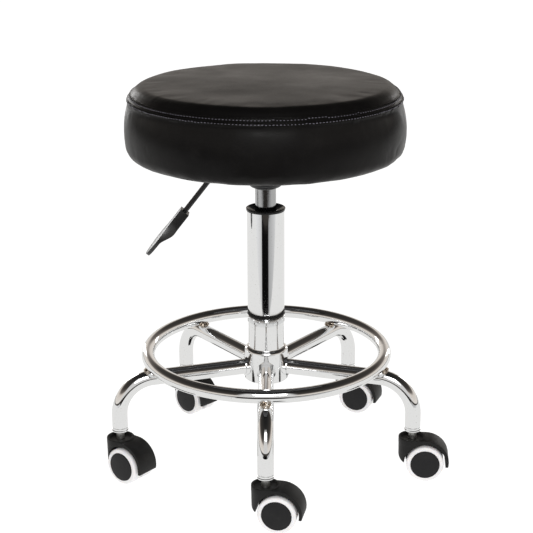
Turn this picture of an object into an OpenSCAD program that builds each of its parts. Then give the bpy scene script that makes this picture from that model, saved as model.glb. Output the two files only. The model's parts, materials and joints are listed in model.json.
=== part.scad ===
// Rolling stylist stool: a round padded seat on a gas lift column, over a five
// leg base with a foot ring and twin wheel casters. The seat turns and lifts,
// a paddle lever under it opens the gas valve, and every caster swivels.
// Origin: on the column's axis, at the floor. +Z is up, leg 1 points along -Y
// and the lever along -X. Millimetres. Shown at the seat's lowest setting.

/* [Seat] */
// Widest radius of the padded seat
seat_r = 184; // [175:1:195]
// Height of the seat's underside above the floor
seat_z = 433; // [430:1:440]
// Thickness of the padded seat at its crown
seat_h = 96; // [90:1:110]
// Thickness of the seat's cover
cover_t = 1.5; // [1:0.1:2]
// Radius of the plywood seat board
board_r = 160; // [140:1:162]
// Thickness of the plywood seat board
board_t = 15; // [12:1:18]
// Radius of the opening in the cover's hem, under the seat
hem_r = 148; // [130:1:150]
// How far the seat lifts
lift_travel = 120; // [80:5:120]

/* [Seat mount] */
// Side of the square steel plate under the seat
plate_w = 160; // [150:2:180]
// Thickness of the pressed steel plate
plate_t = 2.5; // [2:0.1:3]
// Distance between the plate's screws
screw_pitch = 125; // [118:1:130]
// Outer radius of the plate's pressed dish, at its mouth
dish_r = 46; // [44:1:50]
// Outer radius of the cup that grips the gas cylinder
socket_r = 23; // [21:0.5:24]
// Height of the cup's lower rim above the floor
socket_z = 388; // [386:1:390]

/* [Height lever] */
// Diameter of the lever's steel rod
rod_d = 7; // [6:0.5:8]
// Height of the lever's pivot above the floor
pivot_z = 422; // [421:0.5:423]
// Distance of the pivot from the column's axis
pivot_x = 30; // [28:1:32]
// How steeply the lever's arm falls, in degrees
lever_fall = 52; // [45:0.5:55]
// Distance of the lever's bend from the column's axis
bend_x = 55.6; // [52:0.2:58]
// Distance along the arm from the bend to the paddle
grip_start = 83.8; // [70:0.2:90]
// Length of the paddle
grip_l = 79.5; // [70:0.5:95]
// Width of the paddle's blade
grip_w = 35; // [30:1:42]
// Thickness of the paddle's blade
grip_t = 5; // [4:0.5:6]

/* [Gas lift] */
// Outer radius of the chrome column tube
column_r = 25; // [25:0.5:26]
// Height of the column tube's top edge
column_top = 357; // [350:1:358]
// Outer radius of the gas cylinder
cyl_r = 14; // [14:0.1:14.5]
// Height of the gas cylinder's lower end
cyl_bottom = 145; // [142:1:150]
// Radius of the piston rod
piston_rod_r = 5; // [4:0.5:5]

/* [Base] */
// Outer radius of the hub
hub_r = 29.5; // [28:0.5:32]
// Outer diameter of the leg tubes
leg_d = 21; // [19:0.5:22]
// Wall of the leg tubes
leg_wall = 1.8; // [1.5:0.1:2.2]
// Height of the legs' centre line
leg_z = 138; // [134:1:142]
// Distance of the casters' swivel axes from the column's axis
leg_reach = 207; // [200:1:230]
// Bend radius of the legs, on their centre line
leg_bend = 47; // [42:1:52]
// Height of the legs' lower ends
leg_end_z = 73.2; // [70:0.1:75]
// Radius of the foot ring's centre line
ring_r = 161.5; // [150:0.5:165]
// Diameter of the foot ring's tube
ring_d = 18; // [16:0.5:20]

/* [Casters] */
// Radius of the wheels over their tyres
wheel_r = 25; // [25:0.5:25]
// Radius of the wheels' black faces
cap_r = 19.6; // [18:0.1:20.5]
// Distance of the axle behind the swivel axis
trail = 17.5; // [17:0.5:20]
// Distance of the wheels' outer faces from the caster's middle
wheel_out = 20; // [19:0.5:21]
// Distance of the tyres' outer faces from the caster's middle
tyre_out = 19; // [18:0.1:19.5]
// Distance of the wheels' inner faces from the caster's middle
wheel_in = 4; // [4:0.5:5]
// Radius of the hood's round boss
boss_r = 18.5; // [17:0.5:19]
// Width of the hood's fender
fender_w = 32; // [30:1:34]
// Height of the hood's boss above the floor
hood_top = 58.5; // [58:0.5:60]
// Headings of the five casters at rest, in degrees clockwise from +X
caster_heading = [12, 4, 21, 43, 38];

/* [Hidden] */
LEGS = 5;

$fn = 96;

// Fits: a turning or sliding pair has run_gap all round, a drop-in pair drop_gap
run_gap = 0.05;
drop_gap = 0.1;

CHROME = [0.86, 0.87, 0.88];
STEEL = [0.6, 0.61, 0.62];
BLACK = [0.07, 0.07, 0.07];
DARK_STEEL = [0.14, 0.14, 0.15];
TYRE = [0.86, 0.86, 0.84];

// Hub, collar and the tapered foot of the column
hub_z0 = 119;
hub_z1 = 165;
flange_z0 = 201;
flange_z1 = 211;
ring_z1 = 216;
column_z0 = 125;
column_floor = 4;
column_wall = 1.5;
taper_wall = 2;
taper_r0 = 20.5;
taper_r1 = 22;
socket_d = 26;
socket_reach = 31.5;
leg_start = 23;

// Bush, rod and cylinder
bush_bottom = 290;
rod_hole_r = piston_rod_r + run_gap + 0.03;
bearing_z0 = column_z0 + column_floor + drop_gap;
bearing_h = 6;
washer_h = 2;
gland_h = 15;
piston_h = 12;
piston_r = 12.4;
bore_r = 12.5;
cyl_taper_z = socket_z + 1;
cyl_top = socket_z + 25;
cyl_top_r = 13.4;
cavity_top = socket_z + 8;
pin_r = 3;

// Seat
plate_z = seat_z - plate_t;
dish_z = socket_z + 17;
dish_floor_r = dish_r - 4;
sleeve_r = 19;
sleeve_top = socket_z + 26;
lug_x = 7;
lug_y = 8;
pivot_pin_r = 2.5;
screw_r = 3;
screw_head_r = 6;
screw_head_h = 3.4;
cloth_t = 1;
board_z = seat_z + cover_t;
tee_flange_r = 9.5;
tee_flange_h = 1.5;
tee_barrel_r = 4.2;
tee_barrel_l = 9;
pocket_r = 11;
pocket_h = 4;

// Lever
bend_r = 14;
bend_run = bend_r * tan(lever_fall / 2);
arm_in_grip = 30;
// The paddle: its neck, and where along it the neck widens and thins into the blade
paddle_top = 6.5;
neck_w = 18;
neck_h = 13.5;
widen_from = 20;
widen_to = 50;
thin_from = 31;
thin_to = 54;
// The arm is a hair thinner than the bend, and starts a little inside it
arm_d = rod_d - 0.1;
arm_lap = 0.5;

// Casters
stem_r = 4;
stem_top_r = 5.5;
stem_z0 = 49;
stem_z1 = 92;
washer_z = 67.2;
leg_gap = 1.2;
axle_r = 3;
axle_half = 16;
web_t = 6;
axle_boss_r = 11;
fender_in = 28;
// The fender's outer arc is centred behind and above the axle, so it thins to the tail
fender_out = 30.8;
fender_dx = 1.2;
fender_dz = 1.6;
tail_z = 20;
front_r = 10;
front_z = 25;
boss_h = 8;
boss_edge = 0.8;
boss_floor = hood_top - 2.5;
boss_wall = 2.6;
cup_r = boss_r - boss_wall;
housing_r = 7;
housing_z = 48.5;
wall_draft = 1;
web_back = 22;
cap_dome = 1;
cap_edge = 1.2;
shoulder_r = 2.5;

// Radius of the column's tapered foot at height z
function taper_at(z) = taper_r0 + (taper_r1 - taper_r0) * (z - column_z0) / (flange_z1 - column_z0);

// Points of an arc about [x, z] from angle a0 to a1
function arc(x, z, r, a0, a1, n = 8) =
    [for (i = [0:n]) let (a = a0 + (a1 - a0) * i / n) [x + r * cos(a), z + r * sin(a)]];

// Direction of leg i, in degrees
function leg_angle(i) = -90 + (i - 1) * 360 / LEGS;

// A turned solid from its half section
module turned(points) rotate_extrude() polygon(points);

// A tube standing on z0
module pipe(r_out, r_in, z0, z1) translate([0, 0, z0])
    linear_extrude(z1 - z0) difference() {
        circle(r_out);
        circle(r_in);
    }

// A bar along Y, centred
module bar_y(r, length) rotate([90, 0, 0]) cylinder(r = r, h = length, center = true);

// One child at the root of every leg
module each_leg() for (i = [1:LEGS]) rotate([0, 0, leg_angle(i)]) children();

// One child at every screw of the mounting plate
module each_screw() for (x = [-1, 1], y = [-1, 1])
    translate([x * screw_pitch / 2, y * screw_pitch / 2, 0]) children();

// ---- Base ----

module hub() color(CHROME) difference() {
    union() {
        turned(concat([[18, hub_z0], [hub_r - 1, hub_z0], [hub_r, hub_z0 + 1]],
            arc(hub_r - 5, hub_z1 - 5, 5, 0, 90), [[18, hub_z1]]));
        each_leg() translate([leg_start, 0, leg_z]) rotate([0, 90, 0])
            cylinder(d = socket_d, h = socket_reach - leg_start);
    }
    translate([0, 0, hub_z0 - 1]) cylinder(h = hub_z1 - hub_z0 + 2,
        r1 = taper_at(hub_z0 - 1) + run_gap, r2 = taper_at(hub_z1 + 1) + run_gap);
    each_leg() translate([leg_start - 1, 0, leg_z]) rotate([0, 90, 0])
        cylinder(d = leg_d + 2 * run_gap, h = socket_reach);
}

module hub_collar() color(CHROME) turned([
    [taper_at(hub_z1) + run_gap, hub_z1], [24, hub_z1], [24, flange_z0],
    [25.2, flange_z0 + 0.8], [25.2, flange_z1 - 0.8], [24.4, flange_z1],
    [taper_r1 + run_gap, flange_z1]]);

module column_ring() color(BLACK) turned([
    [taper_r1 + drop_gap, flange_z1], [25, flange_z1], [25.5, flange_z1 + 0.6],
    [25.5, ring_z1 - 0.6], [25, ring_z1], [taper_r1 + drop_gap, ring_z1]]);

module column_tube() color(CHROME) turned([
    [rod_hole_r, column_z0], [taper_r0, column_z0], [taper_r1, flange_z1],
    [taper_r1, ring_z1], [column_r, ring_z1], [column_r, column_top],
    [column_r - column_wall, column_top], [column_r - column_wall, ring_z1 + 2],
    [taper_r1 - taper_wall, ring_z1], [taper_r0 - taper_wall, column_z0 + column_floor],
    [rod_hole_r, column_z0 + column_floor]]);

module guide_bush() color(BLACK) turned(concat([
    [cyl_r + run_gap, bush_bottom], [column_r - column_wall - run_gap, bush_bottom],
    [column_r - column_wall - run_gap, column_top], [column_r + 0.6, column_top]],
    arc(column_r - 0.1, column_top + 2.5, 1.5, -45, 100, 5),
    [[cyl_r + 5, column_top + 0.5], [cyl_r + 2, column_top - 1], [cyl_r + run_gap, column_top - 2.5]]));

// The solid or the bore of a leg: out, round the bend and down
module leg_sweep(r) {
    translate([leg_start, 0, leg_z]) rotate([0, 90, 0])
        cylinder(r = r, h = leg_reach - leg_bend - leg_start);
    translate([leg_reach - leg_bend, 0, leg_z - leg_bend]) rotate([90, 0, 0])
        rotate_extrude(angle = 90) translate([leg_bend, 0]) circle(r);
    translate([leg_reach, 0, leg_end_z]) cylinder(r = r, h = leg_z - leg_bend - leg_end_z);
}

module leg(i) color(CHROME) rotate([0, 0, leg_angle(i)]) difference() {
    leg_sweep(leg_d / 2);
    leg_sweep(leg_d / 2 - leg_wall);
}

ring_z = leg_z + leg_d / 2 + ring_d / 2 + 0.1;

module foot_ring() color(CHROME) translate([0, 0, ring_z]) rotate_extrude()
    translate([ring_r, 0]) difference() {
        circle(d = ring_d);
        circle(d = ring_d - 3);
    }

// Two weld beads where the ring crosses each leg
module ring_welds() color([0.35, 0.27, 0.2]) each_leg()
    for (side = [-1, 1]) translate([ring_r + side * 6.3, 0, leg_z + leg_d / 2 + 1]) sphere(r = 3.6);

// Flanged sleeves pressed into the legs' lower ends
module stem_sockets() color(CHROME) each_leg() translate([leg_reach, 0, 0]) turned([
    [stem_top_r + run_gap, washer_z], [10.4, washer_z], [11, washer_z + 0.6],
    [11, washer_z + 2], [10.2, washer_z + 2.6], [10.2, leg_end_z - leg_gap],
    [leg_d / 2 - leg_wall, leg_end_z - leg_gap], [leg_d / 2 - leg_wall, stem_z1 - 2],
    [stem_top_r + run_gap, stem_z1 - 2]]);

module caster_stems() color(STEEL) each_leg() translate([leg_reach, 0, 0]) turned([
    [0, stem_z0], [stem_r - 0.5, stem_z0], [stem_r, stem_z0 + 0.5], [stem_r, boss_floor + 0.3],
    [stem_top_r, boss_floor + 0.3], [stem_top_r, stem_z1 - 0.5], [stem_top_r - 0.5, stem_z1], [0, stem_z1]]);

// ---- Piston rod: turns with the seat, held down by its clip ----

module piston_rod() color(STEEL) {
    piston_z = cyl_bottom + gland_h + lift_travel;
    washer_z0 = bearing_z0 + bearing_h;
    turned([[0, 119], [piston_rod_r - 0.5, 119], [piston_rod_r, 119.5],
        [piston_rod_r, washer_z0], [10, washer_z0], [10, washer_z0 + washer_h],
        [piston_rod_r, washer_z0 + washer_h], [piston_rod_r, piston_z], [piston_r, piston_z],
        [piston_r, piston_z + piston_h], [0, piston_z + piston_h]]);
}

module thrust_bearing() color(STEEL)
    pipe(11, piston_rod_r, bearing_z0, bearing_z0 + bearing_h);

module rod_clip() color(DARK_STEEL)
    pipe(9, piston_rod_r, 121.5, 123.5);

// ---- Seat ----

module gas_cylinder() color(STEEL) turned([
    [piston_rod_r + run_gap, cyl_bottom], [cyl_r - 1, cyl_bottom], [cyl_r, cyl_bottom + 1],
    [cyl_r, cyl_taper_z], [cyl_top_r, cyl_top], [pin_r + run_gap, cyl_top],
    [pin_r + run_gap, cavity_top], [bore_r, cavity_top], [bore_r, cyl_bottom + gland_h],
    [piston_rod_r + run_gap, cyl_bottom + gland_h]]);

module valve_pin() color(STEEL) intersection() {
    translate([0, 0, socket_z + 12]) cylinder(r = pin_r, h = 18.2);
    translate([0, 0, socket_z + 30.2 - 8]) sphere(r = 8);
    translate([0, 0, socket_z + 20]) cube([20, 20, 40], center = true);
}

module taper_socket() color(BLACK) turned(concat(
    [[cyl_r, socket_z], [cyl_r + 1.4, socket_z]],
    arc(socket_r - 7, socket_z + 8, 7, -70, 0, 6),
    [[socket_r, dish_z], [sleeve_r, dish_z], [sleeve_r, sleeve_top],
    [cyl_top_r, sleeve_top], [cyl_top_r, cyl_top], [cyl_r, cyl_taper_z]]));

// A square with round corners
module rounded_square(w, r) {
    square([w - 2 * r, w], center = true);
    square([w, w - 2 * r], center = true);
    for (x = [-1, 1], y = [-1, 1]) translate([x * (w / 2 - r), y * (w / 2 - r)]) circle(r);
}

module mount_plate() color(DARK_STEEL) difference() {
    union() {
        translate([0, 0, plate_z]) linear_extrude(plate_t) difference() {
            rounded_square(plate_w, 12);
            circle(dish_r - 1);
        }
        turned([[sleeve_r, dish_z], [dish_floor_r, dish_z], [dish_r, plate_z], [dish_r, seat_z],
            [dish_r - plate_t, seat_z], [dish_r - plate_t, plate_z],
            [dish_floor_r - plate_t, dish_z + plate_t], [sleeve_r, dish_z + plate_t]]);
        for (side = [-1, 1]) translate([-pivot_x - lug_x, side * (lug_y + plate_t / 2) - plate_t / 2,
            dish_z + plate_t / 2]) cube([2 * lug_x, plate_t, pivot_z + 6 - dish_z]);
    }
    translate([-pivot_x, 0, pivot_z]) bar_y(pivot_pin_r + 0.02, 40);
    translate([-dish_r - 6, -7, pivot_z - 9]) cube([14, 14, plate_z - pivot_z + 7]);
    each_screw() translate([0, 0, plate_z - 1]) cylinder(r = screw_r + 0.3, h = plate_t + 2);
}

module pivot_pin() color(STEEL) translate([-pivot_x, 0, pivot_z]) bar_y(pivot_pin_r, 25);

module plate_screws() color(STEEL) each_screw() turned(concat([[0, plate_z - screw_head_h]],
    arc(screw_head_r - 2, plate_z - screw_head_h + 2, 2, -90, 0, 4),
    [[screw_head_r, plate_z], [screw_r, plate_z], [screw_r, board_z + board_t + 1],
    [0, board_z + board_t + 1]]));

module tee_nuts() color(STEEL) each_screw() {
    pipe(tee_flange_r, screw_r, board_z + board_t, board_z + board_t + tee_flange_h);
    pipe(tee_barrel_r, screw_r, board_z + board_t - tee_barrel_l, board_z + board_t);
}

module seat_board() color([0.76, 0.62, 0.42]) difference() {
    translate([0, 0, board_z]) cylinder(r = board_r, h = board_t);
    each_screw() translate([0, 0, board_z - 1]) cylinder(r = screw_r + 0.3, h = board_t + 2);
    each_screw() translate([0, 0, board_z + board_t - tee_barrel_l])
        cylinder(r = tee_barrel_r, h = tee_barrel_l + 1);
}

// Half section of the pad: a round lower edge, a bulging band, the seam, a
// softer upper edge and a slightly crowned top, all pulled in by t
lower_edge_r = 18;
band_z = 34;
band_arc_r = 123.6;
seam_z = 75;
upper_edge_r = 22;
seam_r = seat_r - 7;
function pad_outline(t) = concat(
    [[0, seat_z + t]],
    arc(seat_r - 1 - lower_edge_r, seat_z + lower_edge_r, lower_edge_r - t, -90, -8, 8),
    arc(seat_r - band_arc_r, seat_z + band_z, band_arc_r - t, -6, 19, 6),
    arc(seam_r - upper_edge_r, seat_z + seam_z - 2.5, upper_edge_r - t, 8, 88, 8),
    [[0, seat_z + seat_h - t]]);

module seat_foam() color([0.9, 0.85, 0.6]) difference() {
    turned(pad_outline(cover_t));
    translate([0, 0, board_z - 1]) cylinder(r = board_r, h = board_t + 1);
    each_screw() translate([0, 0, board_z + board_t - 1]) cylinder(r = pocket_r, h = pocket_h + 1);
}

module seat_cover() color(BLACK) difference() {
    turned(pad_outline(0));
    turned(pad_outline(cover_t));
    translate([0, 0, seat_z - 1]) cylinder(r = hem_r, h = cover_t + 2);
}

module dust_cloth() color([0.12, 0.12, 0.12]) difference() {
    translate([0, 0, seat_z]) cylinder(r = hem_r, h = cloth_t);
    each_screw() translate([0, 0, seat_z - 1]) cylinder(r = screw_r + 0.3, h = cloth_t + 2);
}

// ---- Height lever ----

// Moves its children from the bend to a frame whose +X runs down the arm
module along_arm() translate([-bend_x, 0, pivot_z]) rotate([0, lever_fall, 180]) children();

module lever_rod() color(BLACK) difference() {
    union() {
        translate([-bend_x + bend_run, 0, pivot_z]) rotate([0, 90, 0])
            cylinder(d = rod_d, h = bend_x - bend_run + 4);
        translate([-bend_x + bend_run, 0, pivot_z - bend_r]) rotate([90, 0, 0]) rotate([0, 0, 90])
            rotate_extrude(angle = lever_fall) translate([bend_r, 0]) circle(d = rod_d);
        along_arm() translate([bend_run - arm_lap, 0, 0]) rotate([0, 90, 0])
            cylinder(d = arm_d, h = grip_start + arm_in_grip - bend_run + arm_lap);
        translate([-pivot_x, 0, pivot_z]) bar_y(5.5, 2 * lug_y - 1);
    }
    translate([-pivot_x, 0, pivot_z]) bar_y(pivot_pin_r + run_gap, 40);
}

// Runs smoothly from 0 to 1 as x goes from a to b
function ease(x, a, b) = let (t = min(1, max(0, (x - a) / (b - a)))) t * t * (3 - 2 * t);

// Half the paddle's width and the height of its underside, x along the paddle
function grip_half(x) = x > widen_to
    ? grip_w / 2 * sqrt(max(0, 1 - pow((x - widen_to) / (grip_l - widen_to), 2)))
    : neck_w / 2 + (grip_w - neck_w) / 2 * ease(x, widen_from, widen_to);
function grip_under(x) = paddle_top - neck_h + (neck_h - grip_t) * ease(x, thin_from, thin_to);

// Plan of the paddle, its neck at x = 0
module grip_plan() polygon(concat(
    [for (x = [widen_from:2.5:widen_to]) [x, grip_half(x)]],
    [for (a = [80:-10:-80]) let (x = widen_to + (grip_l - widen_to) * cos(a)) [x, sign(a) * grip_half(x)]],
    [for (x = [widen_to:-2.5:widen_from]) [x, -grip_half(x)]],
    [[0, -neck_w / 2], [0, neck_w / 2]]));

// Side view of the paddle
module grip_side() polygon(concat(
    [[-1, paddle_top], [-1, grip_under(0)]],
    [for (x = [thin_from:(thin_to - thin_from) / 10:thin_to + 0.1]) [x, grip_under(x)]],
    [[grip_l + 1, grip_under(grip_l)], [grip_l + 1, paddle_top]]));

module lever_grip() color(BLACK) along_arm() translate([grip_start, 0, 0]) difference() {
    intersection() {
        translate([0, 0, -20]) linear_extrude(40) grip_plan();
        rotate([90, 0, 0]) linear_extrude(grip_w + 2, center = true) grip_side();
    }
    translate([-1, 0, 0]) rotate([0, 90, 0]) cylinder(d = arm_d, h = arm_in_grip + 1.2);
}

// ---- Casters ----

// Places caster i: origin at the floor on its swivel axis, the wheels trailing along +X
module at_caster(i) translate([leg_reach * cos(leg_angle(i)), leg_reach * sin(leg_angle(i)), 0])
    rotate([0, 0, -caster_heading[i - 1]]) children();

// Side view of the hood, x from the swivel axis and y up: the front wall with its
// rounded foot, then the fender over the wheels
module hood_side() difference() {
    polygon(concat(
        arc(front_r - boss_r, front_z + front_r, front_r, -90, -180, 6),
        [[-boss_r, hood_top - boss_h + 1], [0, wheel_r + fender_dz + fender_out]],
        arc(trail + fender_dx, wheel_r + fender_dz, fender_out, 90, -17, 12),
        [[trail, tail_z - 1]]));
    translate([trail, wheel_r]) circle(fender_in);
    translate([trail, tail_z - 20]) square([60, 20]);
}

// Side view of the thin web between the wheels, which holds the axle
module web_side() intersection() {
    translate([trail, wheel_r]) circle(fender_in + 1);
    union() {
        translate([-8, wheel_r]) square([8 + trail + web_back, 40]);
        translate([trail, wheel_r]) circle(axle_boss_r);
    }
}

module hood(i) color(BLACK) at_caster(i) difference() {
    union() {
        intersection() {
            rotate([90, 0, 0]) linear_extrude(2 * boss_r, center = true) hood_side();
            union() {
                intersection() {
                    cylinder(r1 = boss_r - wall_draft, r2 = boss_r, h = hood_top);
                    translate([-30, -30, 0]) cube([30 + boss_r / 2.2, 60, 80]);
                }
                translate([0, -fender_w / 2, 0]) cube([60, fender_w, 80]);
            }
        }
        turned(concat([[0, hood_top - boss_h], [boss_r, hood_top - boss_h]],
            arc(boss_r - boss_edge, hood_top - boss_edge, boss_edge, 0, 90, 4),
            [[0, hood_top]]));
        translate([0, 0, housing_z]) cylinder(r = housing_r, h = boss_floor - housing_z);
        rotate([90, 0, 0]) linear_extrude(web_t, center = true) web_side();
    }
    translate([0, 0, stem_z0 - 0.5]) cylinder(r = stem_r + run_gap, h = 30);
    translate([0, 0, boss_floor])
        cylinder(r1 = cup_r - 1, r2 = cup_r + 1, h = 2 * (hood_top - boss_floor));
    translate([trail, 0, wheel_r]) bar_y(axle_r, 40);
}

module axle(i) color(STEEL) at_caster(i) translate([trail, 0, wheel_r]) bar_y(axle_r, 2 * axle_half);

// Half section of a wheel and of its tyre: x is the radius, y runs outwards
module wheel_body(i, side) color(BLACK) at_caster(i) translate([trail, 0, wheel_r])
    rotate([side * 90, 0, 0]) turned([
        [axle_r + run_gap, wheel_in], [cap_r, wheel_in],
        [cap_r, wheel_out - cap_edge], [cap_r - 0.3 * cap_edge, wheel_out - 0.3 * cap_edge],
        [cap_r - cap_edge, wheel_out], [cap_r * 0.7, wheel_out + cap_dome * 0.55],
        [cap_r * 0.35, wheel_out + cap_dome * 0.9], [0, wheel_out + cap_dome],
        [0, axle_half + 0.5], [axle_r + run_gap, axle_half + 0.5]]);

module tyre(i, side) color(TYRE) at_caster(i) translate([trail, 0, wheel_r])
    rotate([side * 90, 0, 0]) turned(concat([[cap_r, wheel_in]],
        arc(wheel_r - shoulder_r, wheel_in + shoulder_r, shoulder_r, -90, 0, 4),
        arc(wheel_r - shoulder_r, tyre_out - shoulder_r, shoulder_r, 0, 90, 4),
        [[cap_r, tyre_out]]));

// ---- Assembly ----

hub();
hub_collar();
column_ring();
column_tube();
guide_bush();
for (i = [1:LEGS]) leg(i);
foot_ring();
ring_welds();
stem_sockets();
caster_stems();
piston_rod();
thrust_bearing();
rod_clip();
gas_cylinder();
taper_socket();
mount_plate();
pivot_pin();
plate_screws();
tee_nuts();
seat_board();
seat_foam();
seat_cover();
dust_cloth();
lever_rod();
lever_grip();
valve_pin();
for (i = [1:LEGS]) {
    hood(i);
    axle(i);
    wheel_body(i, 1);
    tyre(i, 1);
    wheel_body(i, -1);
    tyre(i, -1);
}
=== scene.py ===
# %% [markdown]
# # Rolling stylist stool
# A padded round seat on a gas lift, a chrome column, a foot ring and five bent legs with
# twin wheel casters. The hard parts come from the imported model, in metres, with the floor
# at z = 0 and the column on the Z axis. This script gives them their finishes, and makes
# the parts whose looks a plain solid can't carry: the sewn seat, its thread, the dust
# cloth, the welds and the softened edges of the moulded parts.

# %% Load the fixed frame
import json
import math

import bmesh
import bpy
from mathutils import Matrix, Vector, noise
from mathutils.bvhtree import BVHTree


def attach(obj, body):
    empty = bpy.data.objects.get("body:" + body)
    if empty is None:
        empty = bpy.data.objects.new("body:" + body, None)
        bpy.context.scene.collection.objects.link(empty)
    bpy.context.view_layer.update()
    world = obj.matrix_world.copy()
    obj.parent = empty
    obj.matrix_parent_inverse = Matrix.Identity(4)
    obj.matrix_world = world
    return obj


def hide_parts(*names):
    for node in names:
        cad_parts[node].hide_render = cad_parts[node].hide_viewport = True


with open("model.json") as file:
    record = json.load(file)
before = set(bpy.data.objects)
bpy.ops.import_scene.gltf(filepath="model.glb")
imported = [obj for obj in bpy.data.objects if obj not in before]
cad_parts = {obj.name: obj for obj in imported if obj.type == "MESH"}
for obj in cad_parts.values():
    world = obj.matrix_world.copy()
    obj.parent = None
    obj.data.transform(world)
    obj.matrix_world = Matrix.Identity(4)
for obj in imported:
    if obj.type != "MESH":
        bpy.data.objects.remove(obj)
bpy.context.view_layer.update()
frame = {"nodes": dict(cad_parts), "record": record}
MM = 0.001

# %% [markdown]
# ## Camera
# A long lens from a little above the seat keeps the column's sides parallel. The camera's
# axes are written as a matrix, which gives the slight tilt of the picture directly.

# %% Camera
CAMERA_HEIGHT_ANGLE = math.radians(17.72)
CAMERA_TURN = math.radians(0.4)
CAMERA_TILT = math.radians(-0.25)
CAMERA_DISTANCE = 1.867
CAMERA_TARGET = Vector((0.0008, 0, 0.2781))
CAMERA_LENS = 93.7

out_along = Vector((math.sin(CAMERA_TURN), -math.cos(CAMERA_TURN), 0))
back = math.cos(CAMERA_HEIGHT_ANGLE) * out_along + Vector((0, 0, math.sin(CAMERA_HEIGHT_ANGLE)))
level = Vector((math.cos(CAMERA_TURN), math.sin(CAMERA_TURN), 0))
upward = level.cross(-back)
right = math.cos(CAMERA_TILT) * level + math.sin(CAMERA_TILT) * upward
upright = -math.sin(CAMERA_TILT) * level + math.cos(CAMERA_TILT) * upward

lens = bpy.data.cameras.new("studio_camera")
lens.lens = CAMERA_LENS
lens.sensor_width = 36
lens.clip_end = 50
camera = bpy.data.objects.new("studio_camera", lens)
axes = Matrix((right, upright, back)).transposed().to_4x4()
camera.matrix_world = Matrix.Translation(CAMERA_TARGET + back * CAMERA_DISTANCE) @ axes
bpy.context.scene.collection.objects.link(camera)
bpy.context.scene.camera = camera
bpy.context.scene.view_settings.view_transform = "Standard"
print("camera at", [round(v, 3) for v in camera.location])

# %% [markdown]
# ## Helpers
# Pieces are modelled in a bmesh with its own operators, then written to a mesh object at
# the origin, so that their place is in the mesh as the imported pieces' places are.

# %% Helpers for making pieces
def new_piece(name, bm, material, body=None, smooth=True):
    """Writes a bmesh to an object, and lets it ride on a body."""
    mesh = bpy.data.meshes.new(name)
    for face in bm.faces:
        face.smooth = smooth
    bm.to_mesh(mesh)
    bm.free()
    piece = bpy.data.objects.new(name, mesh)
    bpy.context.scene.collection.objects.link(piece)
    mesh.materials.append(material)
    if body:
        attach(piece, body)
    print(f"{name}: {len(mesh.polygons)} faces")
    return piece


def spun(profile, steps):
    """Turns a chain of (radius, height) points in millimetres about the Z axis."""
    bm = bmesh.new()
    points = [bm.verts.new((r * MM, 0, z * MM)) for r, z in profile]
    edges = [bm.edges.new(pair) for pair in zip(points, points[1:])]
    bmesh.ops.spin(bm, geom=points + edges, cent=(0, 0, 0), axis=(0, 0, 1),
                   angle=math.tau, steps=steps, use_merge=True)
    bmesh.ops.remove_doubles(bm, verts=bm.verts, dist=1e-6)
    bmesh.ops.recalc_face_normals(bm, faces=bm.faces)
    return bm


def arc(x, z, radius, start, end, count):
    """Points of an arc in degrees, both ends included."""
    angles = [math.radians(start + (end - start) * i / count) for i in range(count + 1)]
    return [(x + radius * math.cos(a), z + radius * math.sin(a)) for a in angles]


def along(start, end, count):
    """Points of a straight run, without its first one."""
    return [(start[0] + (end[0] - start[0]) * i / count,
             start[1] + (end[1] - start[1]) * i / count) for i in range(1, count + 1)]


# %% [markdown]
# ## Finishes
# Each finish is a material of shader nodes. What several finishes share is a node group,
# built once: a fine moulded grain, the faint marks that polishing leaves, and the dust and
# handling that dull a surface here and there. Everything reads Object coordinates.

# %% Helpers for node trees
def group_with(name, inputs, outputs):
    """A new shader node group with named float or vector sockets."""
    tree = bpy.data.node_groups.new(name, "ShaderNodeTree")
    for socket, kind, value in inputs:
        made = tree.interface.new_socket(socket, in_out="INPUT", socket_type=kind)
        if value is not None:
            made.default_value = value
    for socket, kind in outputs:
        tree.interface.new_socket(socket, in_out="OUTPUT", socket_type=kind)
    return tree, tree.nodes.new("NodeGroupInput"), tree.nodes.new("NodeGroupOutput")


def add(tree, kind, settings=None, **values):
    """Adds a node; values set its input sockets by name, with _ for a space."""
    node = tree.nodes.new("ShaderNode" + kind)
    for key, value in (settings or {}).items():
        setattr(node, key, value)
    for key, value in values.items():
        node.inputs[key.replace("_", " ")].default_value = value
    return node


def ramp(tree, factor, stops):
    """A colour ramp from (position, grey or colour) stops."""
    node = tree.nodes.new("ShaderNodeValToRGB")
    points = node.color_ramp.elements
    while len(points) < len(stops):
        points.new(0.5)
    for point, (position, colour) in zip(points, stops):
        point.position = position
        grey = isinstance(colour, (int, float))
        point.color = (colour, colour, colour, 1) if grey else (*colour, 1)
    tree.links.new(factor, node.inputs["Fac"])
    return node.outputs["Color"]


def maths(tree, operation, a, b):
    """A Math node of two sockets or numbers."""
    node = tree.nodes.new("ShaderNodeMath")
    node.operation = operation
    for socket, value in zip(node.inputs, (a, b)):
        if isinstance(value, (int, float)):
            socket.default_value = value
        else:
            tree.links.new(value, socket)
    return node.outputs[0]


def mixed(tree, factor, a, b, blend="MIX"):
    """Mixes two colours, each a socket or a colour."""
    node = tree.nodes.new("ShaderNodeMix")
    node.data_type = "RGBA"
    node.blend_type = blend
    for socket, value in ((node.inputs[0], factor), (node.inputs[6], a), (node.inputs[7], b)):
        if isinstance(value, bpy.types.NodeSocket):
            tree.links.new(value, socket)
        elif isinstance(value, tuple):
            socket.default_value = (*value, 1)
        else:
            socket.default_value = value
    return node.outputs[2]


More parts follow.
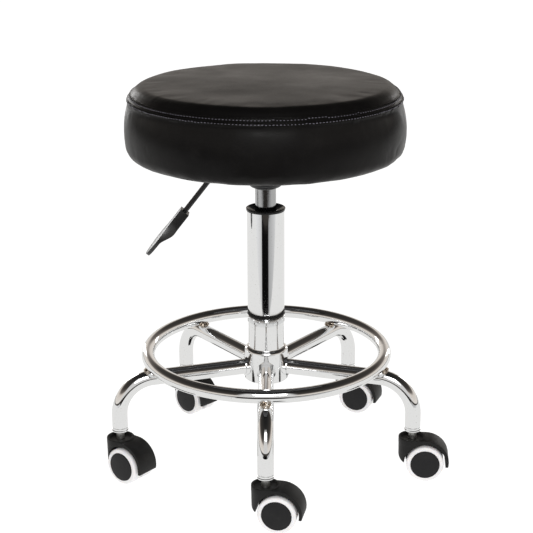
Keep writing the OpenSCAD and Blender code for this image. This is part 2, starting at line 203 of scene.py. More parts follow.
# %% Shared groups: grain, polishing marks, handling
def make_grain():
    tree, inp, out = group_with(
        "moulded_grain", [("Vector", "NodeSocketVector", None), ("Scale", "NodeSocketFloat", 1400.0)],
        [("Height", "NodeSocketFloat"), ("Shade", "NodeSocketFloat")])
    pits = add(tree, "TexVoronoi", {"feature": "SMOOTH_F1"})
    cloud = add(tree, "TexNoise", None, Scale=60.0, Detail=4.0)
    tree.links.new(inp.outputs["Vector"], pits.inputs["Vector"])
    tree.links.new(inp.outputs["Scale"], pits.inputs["Scale"])
    tree.links.new(inp.outputs["Vector"], cloud.inputs["Vector"])
    tree.links.new(pits.outputs["Distance"], out.inputs["Height"])
    tree.links.new(cloud.outputs["Fac"], out.inputs["Shade"])
    return tree


def make_polish():
    tree, inp, out = group_with(
        "polishing_marks", [("Vector", "NodeSocketVector", None), ("Scale", "NodeSocketFloat", 30.0)],
        [("Haze", "NodeSocketFloat"), ("Height", "NodeSocketFloat"), ("Specks", "NodeSocketFloat")])
    cloud = add(tree, "TexNoise", None, Detail=5.0, Roughness=0.65)
    wave = add(tree, "TexNoise", None, Scale=22.0, Detail=1.0)
    specks = add(tree, "TexNoise", None, Scale=700.0, Detail=2.0)
    for node in (cloud, wave, specks):
        tree.links.new(inp.outputs["Vector"], node.inputs["Vector"])
    tree.links.new(inp.outputs["Scale"], cloud.inputs["Scale"])
    spotted = ramp(tree, specks.outputs["Fac"], [(0.66, 0.0), (0.74, 1.0)])
    tree.links.new(cloud.outputs["Fac"], out.inputs["Haze"])
    tree.links.new(wave.outputs["Fac"], out.inputs["Height"])
    tree.links.new(spotted, out.inputs["Specks"])
    return tree


def make_handling():
    tree, inp, out = group_with(
        "handling", [("Vector", "NodeSocketVector", None), ("Amount", "NodeSocketFloat", 0.5)],
        [("Dust", "NodeSocketFloat"), ("Rub", "NodeSocketFloat")])
    dust = add(tree, "TexNoise", None, Scale=45.0, Detail=6.0, Roughness=0.7)
    rub = add(tree, "TexNoise", None, Scale=14.0, Detail=3.0)
    tree.links.new(inp.outputs["Vector"], dust.inputs["Vector"])
    tree.links.new(inp.outputs["Vector"], rub.inputs["Vector"])
    patches = ramp(tree, dust.outputs["Fac"], [(0.52, 0.0), (0.72, 1.0)])
    tree.links.new(maths(tree, "MULTIPLY", patches, inp.outputs["Amount"]), out.inputs["Dust"])
    tree.links.new(rub.outputs["Fac"], out.inputs["Rub"])
    return tree


GRAIN, POLISH, HANDLING = make_grain(), make_polish(), make_handling()
print("node groups:", [g.name for g in bpy.data.node_groups])


# %% Helper for materials
class Finish:
    """A material with its Principled shader and Object coordinates at hand."""

    def __init__(self, name, **values):
        self.material = bpy.data.materials.new(name)
        self.material.use_nodes = True
        self.tree = self.material.node_tree
        self.shader = self.tree.nodes["Principled BSDF"]
        self.place = self.tree.nodes.new("ShaderNodeTexCoord").outputs["Object"]
        for key, value in values.items():
            self.shader.inputs[key.replace("_", " ")].default_value = value

    def use(self, group, **values):
        """Places a shared group, fed with the place on the piece."""
        node = self.tree.nodes.new("ShaderNodeGroup")
        node.node_tree = group
        self.tree.links.new(self.place, node.inputs["Vector"])
        for key, value in values.items():
            node.inputs[key].default_value = value
        return node.outputs

    def texture(self, kind, settings=None, **values):
        node = add(self.tree, kind, settings, **values)
        self.tree.links.new(self.place, node.inputs["Vector"])
        return node

    def feed(self, socket, value):
        self.tree.links.new(value, self.shader.inputs[socket])

    def bump(self, height, distance, strength=1.0, under=None):
        """A Bump node over another one, or straight onto the shader."""
        node = add(self.tree, "Bump", None, Strength=strength, Distance=distance)
        self.tree.links.new(height, node.inputs["Height"])
        if under is not None:
            self.tree.links.new(under, node.inputs["Normal"])
        self.tree.links.new(node.outputs["Normal"], self.shader.inputs["Normal"])
        return node.outputs["Normal"]


# %% [markdown]
# ### Metals
# Chrome plate is a near perfect mirror, so its look is the studio around it. What tells
# the eye that it is real is small: a haze that comes and goes, a very slight waviness
# where the tube was drawn and polished, and a few specks under the plate.

# %% Chrome, ground steel, zinc, painted steel, weld
def make_chrome():
    f = Finish("chrome_plate", Metallic=1.0)
    marks = f.use(POLISH, Scale=30.0)
    f.feed("Base Color", mixed(f.tree, marks["Specks"], (0.86, 0.865, 0.87), (0.62, 0.61, 0.59)))
    f.feed("Roughness", ramp(f.tree, marks["Haze"], [(0.3, 0.035), (0.75, 0.09)]))
    f.bump(marks["Height"], 0.0004, 0.25)
    return f.material


def make_ground_steel():
    f = Finish("ground_steel", Metallic=1.0)
    marks = f.use(POLISH, Scale=18.0)
    fine = f.texture("TexNoise", Scale=900.0, Detail=2.0)
    f.feed("Base Color", mixed(f.tree, marks["Haze"], (0.40, 0.405, 0.41), (0.5, 0.5, 0.505)))
    f.feed("Roughness", ramp(f.tree, marks["Haze"], [(0.3, 0.12), (0.75, 0.2)]))
    f.bump(fine.outputs["Fac"], 0.000004, 0.4)
    return f.material


def make_zinc():
    f = Finish("zinc_plate", Metallic=1.0)
    spangle = f.texture("TexVoronoi", Scale=500.0)
    marks = f.use(POLISH, Scale=80.0)
    f.feed("Base Color", mixed(f.tree, marks["Haze"], (0.5, 0.5, 0.48), (0.68, 0.68, 0.66)))
    f.feed("Roughness", ramp(f.tree, spangle.outputs["Distance"], [(0.0, 0.25), (0.8, 0.42)]))
    f.bump(spangle.outputs["Distance"], 0.00002, 0.4)
    return f.material


def make_black_steel():
    f = Finish("black_powder_coat")
    peel = f.texture("TexNoise", Scale=900.0, Detail=2.0)
    wear = f.use(HANDLING, Amount=0.4)
    f.feed("Base Color", mixed(f.tree, wear["Dust"], (0.010, 0.010, 0.011), (0.035, 0.034, 0.033)))
    f.feed("Roughness", ramp(f.tree, wear["Rub"], [(0.3, 0.28), (0.7, 0.42)]))
    f.bump(peel.outputs["Fac"], 0.00005, 0.35)
    return f.material


def make_weld():
    f = Finish("plated_weld", Metallic=1.0)
    heat = f.texture("TexNoise", Scale=260.0, Detail=5.0, Roughness=0.7)
    f.feed("Base Color", ramp(f.tree, heat.outputs["Fac"],
                              [(0.32, (0.1, 0.07, 0.05)), (0.48, (0.36, 0.29, 0.22)),
                               (0.62, (0.66, 0.63, 0.58)), (0.8, (0.22, 0.18, 0.16))]))
    f.feed("Roughness", ramp(f.tree, heat.outputs["Fac"], [(0.3, 0.16), (0.7, 0.4)]))
    f.bump(heat.outputs["Fac"], 0.0004, 0.5)
    return f.material


# %% [markdown]
# ### Plastics, tyre and thread
# The hoods are moulded black nylon with a fine spark-eroded grain; the wheel faces are
# the same nylon but smoother; the guide bush is glossy acetal. Tyres are off-white
# polyurethane, a little see-through at the skin, with scuffs where they meet the floor.

# %% Plastics, tyre, thread
def make_moulded(name, dark, pale, rough, depth, scale, dust, gloss=1.32):
    f = Finish(name, IOR=gloss)
    grain = f.use(GRAIN, Scale=scale)
    wear = f.use(HANDLING, Amount=dust)
    tone = mixed(f.tree, grain["Shade"], dark, pale)
    f.feed("Base Color", mixed(f.tree, wear["Dust"], tone, (0.024, 0.0235, 0.023)))
    f.feed("Roughness", ramp(f.tree, wear["Rub"], [(0.3, rough[0]), (0.7, rough[1])]))
    f.bump(grain["Height"], depth, 0.6)
    return f.material


def make_tyre():
    f = Finish("polyurethane_tyre", Subsurface_Weight=0.12, Subsurface_Scale=0.002,
               Specular_IOR_Level=0.4)
    f.shader.inputs["Subsurface Radius"].default_value = (1.0, 0.8, 0.6)
    wear = f.use(HANDLING, Amount=0.35)
    fine = f.texture("TexNoise", Scale=500.0, Detail=3.0)
    clean = mixed(f.tree, wear["Rub"], (0.80, 0.79, 0.80), (0.87, 0.86, 0.87))
    f.feed("Base Color", mixed(f.tree, wear["Dust"], clean, (0.52, 0.5, 0.47)))
    f.feed("Roughness", ramp(f.tree, fine.outputs["Fac"], [(0.3, 0.34), (0.7, 0.5)]))
    f.bump(fine.outputs["Fac"], 0.00003, 0.4)
    return f.material


def make_thread():
    f = Finish("polyester_thread", Sheen_Weight=0.25)
    f.shader.inputs["Sheen Tint"].default_value = (0.7, 0.7, 0.85, 1)
    twist_and_sheen = f.texture("TexNoise", Scale=1800.0, Detail=2.0)
    # The colour runs from near black to a pale lilac grey with the twist. The pale end is partly
    # painted sheen, light caught on black thread, and partly the twist of its fibres.
    f.feed("Base Color", ramp(f.tree, twist_and_sheen.outputs["Fac"],
                              [(0.35, (0.07, 0.066, 0.085)), (0.7, (0.26, 0.25, 0.3))]))
    f.feed("Roughness", ramp(f.tree, twist_and_sheen.outputs["Fac"], [(0.3, 0.35), (0.7, 0.55)]))
    f.bump(twist_and_sheen.outputs["Fac"], 0.0001, 0.5)
    return f.material


# %% [markdown]
# ### Leather, cloth and plywood
# The seat's artificial leather has a shallow pebble grain, pale enough to matter only
# where light grazes it, and slow changes of gloss across the panel. The dust cloth is a
# pressed felt of loose fibres.

# %% Leather, cloth, plywood
def make_leather():
    f = Finish("black_leather", IOR=1.21)
    pebble = f.texture("TexVoronoi", {"feature": "SMOOTH_F1"}, Scale=620.0, Randomness=1.0)
    pores = f.texture("TexNoise", Scale=1500.0, Detail=2.0)
    cloud = f.texture("TexNoise", Scale=9.0, Detail=6.0, Roughness=0.6)
    wear = f.use(HANDLING, Amount=0.25)
    tone = ramp(f.tree, cloud.outputs["Fac"],
                [(0.3, (0.0035, 0.0032, 0.0032)), (0.7, (0.0065, 0.006, 0.0058))])
    f.feed("Base Color", mixed(f.tree, wear["Dust"], tone, (0.013, 0.012, 0.0115)))
    gloss = maths(f.tree, "ADD", ramp(f.tree, cloud.outputs["Fac"], [(0.3, 0.26), (0.7, 0.36)]),
                  maths(f.tree, "MULTIPLY", pebble.outputs["Distance"], 0.06))
    f.feed("Roughness", gloss)
    grain = maths(f.tree, "ADD", pebble.outputs["Distance"],
                  maths(f.tree, "MULTIPLY", pores.outputs["Fac"], 0.4))
    f.bump(grain, 0.00012, 0.55)
    return f.material


def make_cloth():
    f = Finish("dust_cloth", Specular_IOR_Level=0.2, Sheen_Weight=0.2)
    fibres = f.texture("TexNoise", Scale=420.0, Detail=6.0, Roughness=0.8, Distortion=2.0)
    f.feed("Base Color", ramp(f.tree, fibres.outputs["Fac"],
                              [(0.3, (0.03, 0.03, 0.032)), (0.75, (0.11, 0.11, 0.115))]))
    f.feed("Roughness", ramp(f.tree, fibres.outputs["Fac"], [(0.3, 0.8), (0.7, 0.95)]))
    f.bump(fibres.outputs["Fac"], 0.0003, 0.6)
    return f.material


def make_plywood():
    f = Finish("birch_plywood")
    plies = add(f.tree, "Mapping")
    plies.inputs["Scale"].default_value = (6, 30, 700)
    f.tree.links.new(f.place, plies.inputs["Vector"])
    veins = add(f.tree, "TexNoise", None, Scale=1.0, Detail=5.0, Roughness=0.6)
    f.tree.links.new(plies.outputs["Vector"], veins.inputs["Vector"])
    f.feed("Base Color", ramp(f.tree, veins.outputs["Fac"],
                              [(0.35, (0.36, 0.23, 0.12)), (0.65, (0.66, 0.5, 0.32))]))
    f.feed("Roughness", ramp(f.tree, veins.outputs["Fac"], [(0.3, 0.5), (0.7, 0.7)]))
    f.bump(veins.outputs["Fac"], 0.0001, 0.4)
    return f.material


def make_foam():
    f = Finish("cut_foam")
    cells = f.texture("TexVoronoi", Scale=700.0)
    f.feed("Base Color", ramp(f.tree, cells.outputs["Distance"],
                              [(0.0, (0.55, 0.48, 0.3)), (0.7, (0.86, 0.8, 0.6))]))
    f.feed("Roughness", ramp(f.tree, cells.outputs["Distance"], [(0.0, 0.8), (0.7, 0.95)]))
    f.bump(cells.outputs["Distance"], 0.0005, 0.7)
    return f.material


FINISHES = {
    "chrome": make_chrome(),
    "gas_steel": make_ground_steel(),
    "zinc_steel": make_zinc(),
    "black_steel": make_black_steel(),
    "weld": make_weld(),
    "hood_plastic": make_moulded("hood_nylon", (0.005, 0.005, 0.005), (0.010, 0.010, 0.010),
                                 (0.42, 0.56), 0.00009, 1500.0, 0.5),
    "cap_plastic": make_moulded("wheel_nylon", (0.007, 0.007, 0.008), (0.012, 0.012, 0.013),
                                (0.38, 0.5), 0.00004, 2200.0, 0.35),
    "bush_plastic": make_moulded("bush_acetal", (0.005, 0.005, 0.005), (0.008, 0.008, 0.008),
                                 (0.12, 0.22), 0.00001, 1500.0, 0.15),
    "paddle_plastic": make_moulded("paddle_plastic", (0.011, 0.011, 0.011), (0.018, 0.018, 0.018),
                                   (0.2, 0.3), 0.00003, 1500.0, 0.3, 1.5),
    "tyre": make_tyre(),
    "leather": make_leather(),
    "foam": make_foam(),
    "cloth": make_cloth(),
    "plywood": make_plywood(),
}
THREAD = make_thread()

for part in frame["record"]["subparts"]:
    slots = frame["nodes"][part["node"]].data.materials
    slots.clear()
    slots.append(FINISHES[part["material_slot"]])

# %% [markdown]
# ## The seat
# The real seat is a foam disc on a board, in a cover of two panels: a round top and a
# band, joined all round by a felled seam with a row of stitches on each side. The body of
# the pad could be modelled as a turned solid, but foam under leather is never so even, so
# a plain pad is blown up by a short cloth simulation first, and the fine sewn skin is then
# laid over it. The skin is a spun profile, close-set where the seam runs.

# %% Profiles of the skin and of the plain pad
SEAM_STEPS = 768
STITCHES = 256
HEM_RADIUS = 148
FOLD_LOW = (178.2, 510.6)
FOLD_HIGH = (174.9, 516.0)


def groove(centre, facing, depth, lip, half):
    """A sewn groove: a lip, the drop to the thread, and the other lip, going upwards."""
    a = math.radians(facing)
    out, up = Vector((math.cos(a), math.sin(a))), Vector((-math.sin(a), math.cos(a)))
    steps = [(-2 * half, lip * 0.6), (-1.4 * half, lip), (-half, lip * 0.75),
             (-0.5 * half, -depth * 0.55), (0, -depth), (0.5 * half, -depth * 0.55),
             (half, lip * 0.75), (1.4 * half, lip), (2 * half, lip * 0.6)]
    return [tuple(Vector(centre) + up * s + out * h) for s, h in steps]


band = (along((HEM_RADIUS - 4, 433.4), (165, 433), 6) + arc(165, 451, 18, -90, -8, 14)
        + arc(60.4, 467, 123.6, -6, 15.5, 16) + [(178.9, 503.6), (179.1, 506.4)])
top_panel = arc(155, 505.5, 22, 37, 86, 11) + along((156.5, 527.4), (0, 529), 26)
skin_profile = (band + groove(FOLD_LOW, 22, 1.3, 0.6, 0.95) + [(177.0, 513.5)]
                + groove(FOLD_HIGH, 32, 1.5, 0.35, 0.9) + top_panel)
plain_profile = ([(0, 436)] + arc(162, 451, 15, -90, -8, 5) + arc(58, 467, 123, -6, 19, 5)
                 + arc(153, 504, 20, 10, 86, 5) + [(100, 525), (0, 526)])
print("skin profile:", len(skin_profile), "points")

# %% [markdown]
# The simulation works on the plain pad alone: an even grid from a voxel remesh, air
# pressure inside, the underside pinned to the board. It is short and gives the same
# result each time, because its small unevenness comes from fixed noise.

# %% Blow up the plain pad
PAD_VOXEL = 0.006
PAD_FRAMES = 20
PAD_PINNED_BELOW = 0.440
PAD_LIMIT = 0.005


def apply_modifiers(piece):
    """Replaces a piece's mesh by its result."""
    graph = bpy.context.evaluated_depsgraph_get()
    mesh = bpy.data.meshes.new_from_object(piece.evaluated_get(graph))
    piece.modifiers.clear()
    piece.data = mesh


def uneven(point, size, amount, seed):
    """Slow, fixed unevenness of a place in the pad."""
    return amount * noise.noise(point / size + Vector((seed, 0, 0)))


def blown_pad():
    pad = new_piece("plain_pad", spun(plain_profile, 64), FINISHES["foam"])
    remesh = pad.modifiers.new("even_grid", "REMESH")
    remesh.mode = "VOXEL"
    remesh.voxel_size = PAD_VOXEL
    apply_modifiers(pad)
    for vertex in pad.data.vertices:
        out = Vector((vertex.co.x, vertex.co.y, 0)).normalized()
        vertex.co += out * uneven(vertex.co, 0.07, 0.0016, 3.1)
    rest = [v.co.copy() for v in pad.data.vertices]
    pins = pad.vertex_groups.new(name="board")
    pins.add([v.index for v in pad.data.vertices if v.co.z < PAD_PINNED_BELOW], 1.0, "REPLACE")
    cloth = pad.modifiers.new("leather_skin", "CLOTH").settings
    cloth.use_pressure = True
    cloth.uniform_pressure_force = 4
    cloth.quality = 4
    cloth.bending_stiffness = 2
    cloth.vertex_group_mass = "board"
    cloth.effector_weights.gravity = 0
    scene = bpy.context.scene
    for step in range(1, PAD_FRAMES + 1):
        scene.frame_set(step)
    apply_modifiers(pad)
    for vertex, start in zip(pad.data.vertices, rest):
        move = vertex.co - start
        if move.length > PAD_LIMIT:
            vertex.co = start + move.normalized() * PAD_LIMIT
    scene.frame_set(1)
    grown = max(math.hypot(v.co.x, v.co.y) for v in pad.data.vertices)
    print("plain pad: widest radius", round(grown * 1000, 1), "mm")
    return pad


pad = blown_pad()
pad_shape = bmesh.new()
pad_shape.from_mesh(pad.data)
pad_tree = BVHTree.FromBMesh(pad_shape)
pad_shape.free()
bpy.data.objects.remove(pad)

# %% [markdown]
# The skin follows the blown pad: each point looks for the pad's surface along its own
# normal and takes on most of the difference, smoothed by where it sits. Then the leather
# is drawn in a little at every stitch, and the band gets the few soft pulls that a band
# sewn on the bias always has. All of these fade out over a short way.

# %% The sewn skin
SKIN_REACH = 0.012
SKIN_FOLLOW = 0.12
SKIN_MOVE = 0.002
FLAT_BELOW = 0.434
PULL_HEIGHT, PULL_SPAN = 0.455, 0.022
PULL_DEPTH, PULL_WIDTH = 0.0012, 0.14
PUCKER_DEPTH, PUCKER_SPAN = 0.0004, 0.0028
HEM_HEIGHT, HEM_SPAN = 0.438, 0.012
seam_heights = (FOLD_LOW[1] * MM, FOLD_HIGH[1] * MM)


def fade(distance, span):
    """1 on a line, falling to 0 at a span away from it."""
    return max(0.0, 1 - distance / span)


def seat_skin():
    bm = spun(skin_profile, SEAM_STEPS)
    bm.normal_update()
    moved = []
    for vertex in bm.verts:
        p, n = vertex.co.copy(), vertex.normal.copy()
        angle = math.atan2(p.y, p.x)
        hit = pad_tree.ray_cast(p - n * SKIN_REACH, n, 2 * SKIN_REACH)
        follow = 0.0
        if hit[0] is not None:
            gap = (hit[0] - p).dot(n)
            follow = max(-SKIN_MOVE, min(SKIN_MOVE, (gap + SKIN_MOVE) * SKIN_FOLLOW))
        if p.z < FLAT_BELOW:
            follow = 0.0
        slow = uneven(p, 0.06, 0.0006, 7.7) + uneven(p, 0.022, 0.00012, 1.3)
        on_band = fade(abs(p.z - PULL_HEIGHT), PULL_SPAN)
        patch = max(0.0, noise.noise(Vector((math.cos(angle) * 1.3, math.sin(angle) * 1.3, 4.0))))
        crease = abs(noise.noise(Vector((math.cos(angle) * 7, math.sin(angle) * 7, p.z * 60))))
        pull = -PULL_DEPTH * on_band * patch * fade(crease, PULL_WIDTH)
        near = fade(min(abs(p.z - h) for h in seam_heights), PUCKER_SPAN)
        pucker = -PUCKER_DEPTH * near * (0.5 + 0.5 * math.cos(angle * STITCHES))
        hem = fade(abs(p.z - HEM_HEIGHT), HEM_SPAN) * uneven(p, 0.02, 0.0012, 5.9)
        moved.append(p + n * (follow + slow + pull + pucker + hem))
    for vertex, place in zip(bm.verts, moved):
        vertex.co = place
    return bm


cushion = new_piece("seat_cushion", seat_skin(), FINISHES["leather"], "seat")
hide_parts("seat_cover", "seat_foam")


# %% [markdown]
# Thread shows as a dash from hole to hole. One stitch is a small ball of few faces, drawn
# out along the seam and bent down at both ends; it is copied round both rows, and each
# copy is set on the skin where it falls.

# %% Stitches
STITCH_ROWS = [(0.1790, 0.5090, 12), (0.1762, 0.5142, 30)]  # radius, height, facing
STITCH_WIDE, STITCH_THICK, STITCH_BEND, STITCH_PROUD = 0.5, 0.45, 0.35, 0.12


def stitch_row(bm, skin, radius, height, facing, share=0.6):
    """Adds one ring of stitches, each set on the skin beside a seam line."""
    length = math.tau * radius / STITCHES * share
    lean = Matrix.Rotation(-math.radians(facing), 3, "Y")
    for i in range(STITCHES):
        turn = Matrix.Rotation(math.tau * (i + 0.5) / STITCHES, 3, "Z")
        spot, outward = skin.find_nearest(turn @ Vector((radius, 0, height)))[:2]
        made = bmesh.ops.create_icosphere(bm, subdivisions=1, radius=1.0)["verts"]
        for v in made:
            rise = v.co.x * STITCH_THICK - STITCH_BEND * v.co.y ** 2
            v.co = Vector((rise * MM, v.co.y * length / 2, v.co.z * STITCH_WIDE * MM))
        bmesh.ops.rotate(bm, verts=made, cent=(0, 0, 0), matrix=turn @ lean)
        bmesh.ops.translate(bm, verts=made, vec=spot + outward * STITCH_PROUD * MM)


def seat_thread():
    bm = bmesh.new()
    skin = BVHTree.FromObject(cushion, bpy.context.evaluated_depsgraph_get())
    for row in STITCH_ROWS:
        stitch_row(bm, skin, *row)
    return bm


thread = new_piece("seat_stitching", seat_thread(), THREAD, "seat")

# %% [markdown]
# ## Under the seat
# The cover is stapled to the board, and a disc of black felt hides the staples. The felt
# is one thin sheet, pulled flat and stapled through its turned edge, so a filled circle
# with slow waves is enough.

# %% Dust cloth and its staples
CLOTH_RADIUS = 0.1475
CLOTH_HEIGHT = 0.4333
CLOTH_THICKNESS = 0.0005
CLOTH_RINGS = 5
STAPLES = 40
STAPLE_SIZE = (0.9, 9, 0.6)
STAPLE_PLACE = (0.1435, 0, 0.4326)


def dust_disc():
    bm = bmesh.new()
    bmesh.ops.create_circle(bm, cap_ends=True, radius=CLOTH_RADIUS, segments=128)
    for _ in range(CLOTH_RINGS):
        middle = max(bm.faces, key=lambda face: len(face.verts))
        bmesh.ops.inset_individual(bm, faces=[middle], depth=0,
                                   thickness=CLOTH_RADIUS / (CLOTH_RINGS + 1.5))
    bmesh.ops.subdivide_edges(bm, edges=bm.edges, cuts=1, use_grid_fill=True)
    for vertex in bm.verts:
        p = vertex.co
        wave = uneven(p, 0.03, 0.0003, 2.2)
        edge = 0.0004 if p.length > CLOTH_RADIUS * 0.95 else 0
        p.z = CLOTH_HEIGHT + wave - edge
    bmesh.ops.recalc_face_normals(bm, faces=bm.faces)
    return bm


dust_cloth = new_piece("felt_disc", dust_disc(), FINISHES["cloth"], "seat")
thick = dust_cloth.modifiers.new("felt_thickness", "SOLIDIFY")
thick.thickness = CLOTH_THICKNESS
thick.offset = 0
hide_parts("dust_cloth")


def staple(number):
    """One staple crown, lying near the felt's edge."""
    bm = bmesh.new()
    made = bmesh.ops.create_cube(bm, size=1.0)["verts"]
    bmesh.ops.scale(bm, verts=made, vec=Vector(STAPLE_SIZE) * MM)
    bmesh.ops.bevel(bm, geom=bm.edges[:], offset=0.2 * MM, segments=2, profile=0.5,
                    affect="EDGES", material=-1)
    slant = math.radians(12 * noise.noise(Vector((number * 1.7, 0, 0))))
    bmesh.ops.rotate(bm, verts=bm.verts, cent=(0, 0, 0), matrix=Matrix.Rotation(slant, 3, "Z"))
    bmesh.ops.translate(bm, verts=bm.verts, vec=STAPLE_PLACE)
    bmesh.ops.rotate(bm, verts=bm.verts, cent=(0, 0, 0),
                     matrix=Matrix.Rotation(math.tau * number / STAPLES, 3, "Z"))
    return bm


def staple_ring():
    ring = bmesh.new()
    for number in range(STAPLES):
        one = staple(number)
        mesh = bpy.data.meshes.new("staple")
        one.to_mesh(mesh)
        one.free()
        ring.from_mesh(mesh)
        bpy.data.meshes.remove(mesh)
    return ring


staples = new_piece("felt_staples", staple_ring(), FINISHES["zinc_steel"], "seat")

# %% [markdown]
# ## Welds
# Where the foot ring lies on a leg, a short bead of weld fills the notch on each side. A
# bead is a stretched ball, roughened by fixed noise and by the ripples that a torch
# leaves at each step.

# %% Weld beads
RING_RADIUS = 0.1615
BEAD_HEIGHT = 0.1487
BEAD_HALF = Vector((3.9, 7.4, 3.3)) * MM
BEAD_ASIDE = 6.4 * MM
LEG_ANGLES = [math.radians(-90 + 72 * i) for i in range(5)]


def weld_beads():
    bm = bmesh.new()
    for leg, angle in enumerate(LEG_ANGLES):
        for side in (-1, 1):
            made = bmesh.ops.create_icosphere(bm, subdivisions=4, radius=1.0)["verts"]
            shift = Vector((leg * 3.7, side * 2.1, 0))
            for v in made:
                rough = 1 + 0.16 * noise.noise(v.co * 2.4 + shift) + 0.05 * math.cos(v.co.y * 14)
                v.co = v.co * BEAD_HALF * rough
            bmesh.ops.translate(bm, verts=made,
                                vec=(RING_RADIUS + side * BEAD_ASIDE, 0, BEAD_HEIGHT))
            bmesh.ops.rotate(bm, verts=made, cent=(0, 0, 0), matrix=Matrix.Rotation(angle, 3, "Z"))
    return bm


beads = new_piece("weld_beads", weld_beads(), FINISHES["weld"], "base")
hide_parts("ring_welds")

# %% [markdown]
# ## Softened edges
# Moulded and pressed parts have no knife edges. For the hoods and the lever's paddle, a
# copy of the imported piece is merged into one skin, its flat faces are made whole, and its
# sharp edges get a small bevel.

# %% Bevelled copies of the moulded parts
HOOD_EDGE = 0.0009
PADDLE_EDGE = 0.0012


def softened(node, name, width, body, sharp=32):
    """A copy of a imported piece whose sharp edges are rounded, which stands for it."""
    bm = bmesh.new()
    bm.from_mesh(frame["nodes"][node].data)
    bmesh.ops.remove_doubles(bm, verts=bm.verts, dist=2e-6)
    bmesh.ops.dissolve_limit(bm, angle_limit=math.radians(0.4), verts=bm.verts, edges=bm.edges,
                             use_dissolve_boundaries=False)
    edges = [e for e in bm.edges if len(e.link_faces) == 2
             and e.calc_face_angle(0) > math.radians(sharp)]
    bmesh.ops.bevel(bm, geom=edges, offset=width, segments=3, profile=0.5, affect="EDGES",
                    material=-1, clamp_overlap=True)
    finish = frame["nodes"][node].data.materials[0]
    piece = new_piece(name, bm, finish, body)
    piece.data.set_sharp_from_angle(angle=math.radians(30))
    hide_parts(node)
    return piece


for number in range(1, 6):
    caster = f"caster_{number}"
    softened(f"{caster}_hood", f"{caster}_hood_moulded", HOOD_EDGE, caster)
softened("lever_grip", "lever_paddle", PADDLE_EDGE, "lever")

# %% [markdown]
# ## Studio
# A pale floor under soft light is enough for the black parts, but polished tube shows
# what stands around it. So the floor itself is left out of reflections, and a card at
# floor height, which only reflections see, takes its place: pale near the stool, with a
# black gap farther out where the camera stands, and ending soon after. The surround is a
# pale low wall, a dark ceiling, and a bright opening above the camera.

# %% Floor
def studio_plane(name, corners, height, material):
    """A flat sheet for the studio, from its corners on the floor."""
    bm = bmesh.new()
    bm.faces.new([bm.verts.new((x, y, height)) for x, y in corners])
    piece = new_piece(name, bm, material, smooth=False)
    return piece


def make_floor_finish():
    f = Finish("pale_floor", Roughness=0.8, Specular_IOR_Level=0.0, Emission_Strength=0.97)
    f.shader.inputs["Emission Color"].default_value = (1, 1, 1, 1)
    mottle = f.texture("TexNoise", Scale=3.0, Detail=3.0)
    f.feed("Base Color", ramp(f.tree, mottle.outputs["Fac"],
                              [(0.3, (0.30, 0.30, 0.30)), (0.7, (0.32, 0.32, 0.32))]))
    return f.material


floor = studio_plane("studio_floor", [(-30, -30), (30, -30), (30, 30), (-30, 30)], -0.0002,
                     make_floor_finish())
floor.visible_glossy = False


# %% Card that stands for the floor in reflections
def around(angle):
    """The place on a radial gradient of an angle in degrees, rightwards from the front."""
    return 0.25 + angle / 360


CARD_TONES = [(-90, 0.92), (-60, 0.85), (-40, 0.75), (-24, 0.6), (18, 0.42), (50, 0.62),
              (85, 0.95), (120, 0.85), (150, 0.5), (170, 0.9)]
GAP_EDGES = [(-25, 0.0), (-23, 1.0), (14, 1.0), (19, 0.0)]
GAP_FROM = -0.6
NEAR_TONE = (0.86, 0.855, 0.84)


def make_card_finish():
    material = bpy.data.materials.new("floor_card")
    material.use_nodes = True
    tree = material.node_tree
    tree.nodes.clear()
    place = tree.nodes.new("ShaderNodeTexCoord").outputs["Object"]
    turn = add(tree, "TexGradient", {"gradient_type": "RADIAL"})
    axes = tree.nodes.new("ShaderNodeSeparateXYZ")
    tree.links.new(place, turn.inputs["Vector"])
    tree.links.new(place, axes.inputs[0])
    pale = ramp(tree, turn.outputs["Fac"], [(around(a), tone) for a, tone in CARD_TONES])
    gap = ramp(tree, turn.outputs["Fac"], [(around(a), share) for a, share in GAP_EDGES])
    far = maths(tree, "LESS_THAN", axes.outputs["Y"], GAP_FROM)
    light = add(tree, "Emission", None, Strength=1.0)
    beyond = mixed(tree, gap, pale, (0.004, 0.004, 0.004))
    tree.links.new(mixed(tree, far, NEAR_TONE, beyond), light.inputs["Color"])
    out = tree.nodes.new("ShaderNodeOutputMaterial")
    tree.links.new(light.outputs[0], out.inputs["Surface"])
    return material


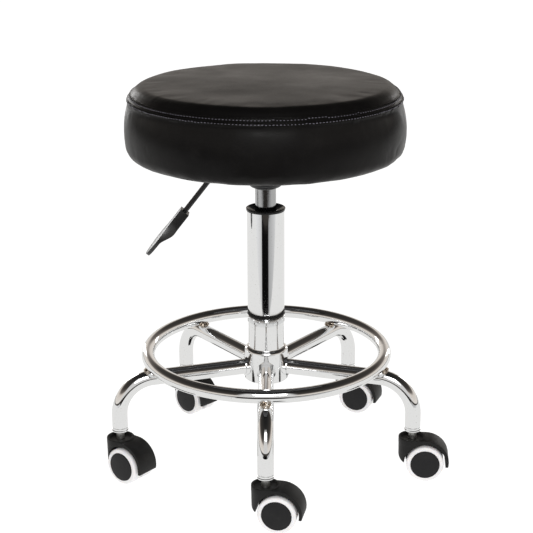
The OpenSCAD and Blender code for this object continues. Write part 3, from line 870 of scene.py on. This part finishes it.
card = studio_plane("floor_card", [(-3, -1.2), (3, -1.2), (3, 4), (-3, 4)], -0.0001,
                    make_card_finish())
card.visible_camera = False
card.visible_diffuse = False
card.visible_shadow = False


# %% World and lights
def make_surround():
    world = bpy.data.worlds.new("studio_surround")
    bpy.context.scene.world = world
    world.use_nodes = True
    tree = world.node_tree
    glow = tree.nodes["Background"]
    place = tree.nodes.new("ShaderNodeTexCoord").outputs["Generated"]
    axes = tree.nodes.new("ShaderNodeSeparateXYZ")
    tree.links.new(place, axes.inputs[0])
    turn = add(tree, "TexGradient", {"gradient_type": "RADIAL"})
    tree.links.new(place, turn.inputs["Vector"])
    wall = ramp(tree, axes.outputs["Z"],
                [(0.0, (0.05, 0.045, 0.04)), (0.01, (0.82, 0.78, 0.73)), (0.3, (0.70, 0.64, 0.58)),
                 (0.4, (0.16, 0.14, 0.125)), (0.55, (0.05, 0.045, 0.04)), (1.0, (0.015, 0.015, 0.015))])
    opening = ramp(tree, turn.outputs["Fac"],
                   [(around(-28), 0.0), (around(-22), 1.0), (around(24), 1.0), (around(30), 0.0)])
    band = ramp(tree, axes.outputs["Z"], [(0.0, 0.0), (0.02, 1.0), (0.82, 1.0), (0.88, 0.0)])
    shown = maths(tree, "MULTIPLY", opening, band)
    tree.links.new(mixed(tree, shown, wall, (0.7, 0.69, 0.68)), glow.inputs["Color"])
    glow.inputs["Strength"].default_value = 1.0


def soft_light(name, place, target, width, height, power):
    light = bpy.data.lights.new(name, "AREA")
    light.shape = "RECTANGLE"
    light.size, light.size_y = width, height
    light.energy = power
    lamp = bpy.data.objects.new(name, light)
    aim = (Vector(target) - Vector(place)).to_track_quat("-Z", "Y")
    lamp.matrix_world = Matrix.Translation(place) @ aim.to_matrix().to_4x4()
    bpy.context.scene.collection.objects.link(lamp)
    return lamp


make_surround()
soft_light("key_softbox", (0.15, -2.3, 2.1), (0, 0, 0.25), 1.3, 1.1, 40)
soft_light("left_strip", (-1.6, 3.2, 0.7), (0, 0, 0.4), 0.5, 1.4, 9)
soft_light("right_strip", (1.9, 3.2, 0.7), (0, 0, 0.4), 0.4, 1.4, 5)
